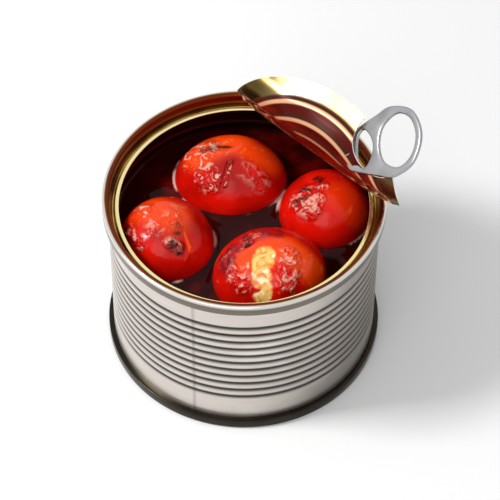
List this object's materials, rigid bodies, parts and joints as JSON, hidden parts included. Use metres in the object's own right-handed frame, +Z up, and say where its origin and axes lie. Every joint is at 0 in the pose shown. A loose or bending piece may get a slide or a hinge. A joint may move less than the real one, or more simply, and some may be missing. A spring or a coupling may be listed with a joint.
{
  "type": "opened food tin",
  "caption": "Opened round steel food tin with ribbed wall, its easy-open lid peeled back by a ring pull, holding small roasted tomatoes in juice.",
  "frame": {"origin": "centre of the base, on the surface the tin stands on", "axes": "+Z up along the tin's axis; -Y is the front; the lid is peeled towards +X +Y and its pull tab points to +X"},
  "size_m": [0.0845, 0.0762, 0.0798],
  "materials": {
    "tinplate": "tinplate, soft sheen",
    "gold_lacquer": "gold lacquer on steel, glossy",
    "aluminium": "pressed, semi-bright",
    "juice": null,
    "tomato_skin": null
  },
  "bodies": {
    "root": {"can_body": "tinplate", "bottom_end": "tinplate", "easy_open_end": "gold_lacquer", "pull_tab": "aluminium", "juice": "juice", "tomato_back": "tomato_skin", "tomato_left": "tomato_skin", "tomato_right": "tomato_skin", "tomato_front": "tomato_skin"}
  },
  "joints": []
}
